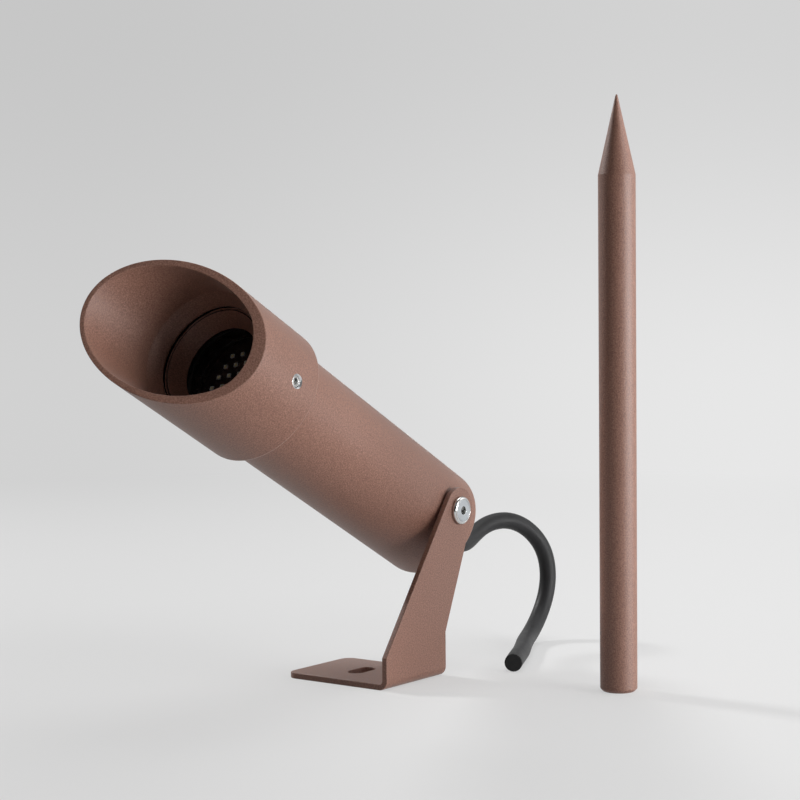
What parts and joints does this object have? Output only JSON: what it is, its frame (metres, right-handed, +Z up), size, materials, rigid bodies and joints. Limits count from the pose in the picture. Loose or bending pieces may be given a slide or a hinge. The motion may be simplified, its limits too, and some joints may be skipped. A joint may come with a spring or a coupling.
{
  "type": "landscape spotlight",
  "caption": "Outdoor accent spotlight: slim cylindrical head with a slash-cut glare shroud, tilting on a one-sided bent-plate bracket, with its cable and a pointed ground stake.",
  "frame": {"origin": "centre of the bracket's fixing slot, on the underside of its base plate", "axes": "+Z up; the lamp looks towards -Y and up; the bracket's upright stands on +X, and the lamp tilts about a line along X"},
  "size_m": [0.1738, 0.3328, 0.297],
  "materials": {
    "coated_aluminium": "rust-brown fine-textured matt powder coat on machined aluminium",
    "coated_steel": "rust-brown fine-textured matt powder coat on steel",
    "stainless": "turned stainless steel, polished on the edges",
    "clear_glass": "clear tempered glass, polished",
    "gasket_rubber": "black silicone rubber",
    "cable_rubber": "matt black rubber sheath",
    "black_nylon": "moulded black nylon",
    "black_mask": "matt black solder mask",
    "led_phosphor": "pale phosphor under clear silicone",
    "bare_aluminium": "machined bare aluminium",
    "holder_plastic": "moulded off-white plastic",
    "circuit_board": "green solder mask",
    "winding_tape": "yellow winding tape",
    "capacitor_sleeve": "dark blue sleeve",
    "terminal_green": "moulded green plastic",
    "lead_red": "red insulation"
  },
  "bodies": {
    "bracket": {"bracket": "coated_steel", "cable": "cable_rubber"},
    "head": {"housing": "coated_aluminium", "front_bezel": "coated_aluminium", "glass_lens": "clear_glass", "front_gasket": "gasket_rubber", "rear_gasket": "gasket_rubber", "baffle_ring": "black_nylon", "led_board": "black_mask", "led_packages": "led_phosphor", "heat_sink": "bare_aluminium", "led_leads": "lead_red", "driver_holder_front": "holder_plastic", "driver_holder_rear": "holder_plastic", "driver_board": "circuit_board", "transformer": "winding_tape", "capacitors": "capacitor_sleeve", "driver_terminal": "terminal_green", "pivot_screw": "stainless", "pivot_bush": "stainless", "spacer_washer": "black_nylon", "gland_body": "black_nylon", "gland_seal": "gasket_rubber", "gland_dome_nut": "black_nylon", "gland_lock_nut": "black_nylon", "cable_tail": "cable_rubber"},
    "shroud": {"shroud": "coated_aluminium", "shroud_set_screws": "stainless"},
    "stake": {"stake": "coated_steel"}
  },
  "joints": [
    {"name": "head_tilt", "type": "hinge", "parent": "bracket", "child": "head", "pos_m": [0.002, 0.0395, 0.0855], "axis": [-1, 0, 0], "range_deg": [-28.5, 61.5]},
    {"name": "shroud_turn", "type": "hinge", "parent": "head", "child": "shroud", "pos_m": [0.002, 0.0395, 0.0855], "axis": [0, -0.8788, 0.4772], "continuous": true},
    {"name": "stake_lift", "type": "slide", "parent": "bracket", "child": "stake", "axis": [0, 0, 1], "range_m": [0, 0.35]}
  ]
}
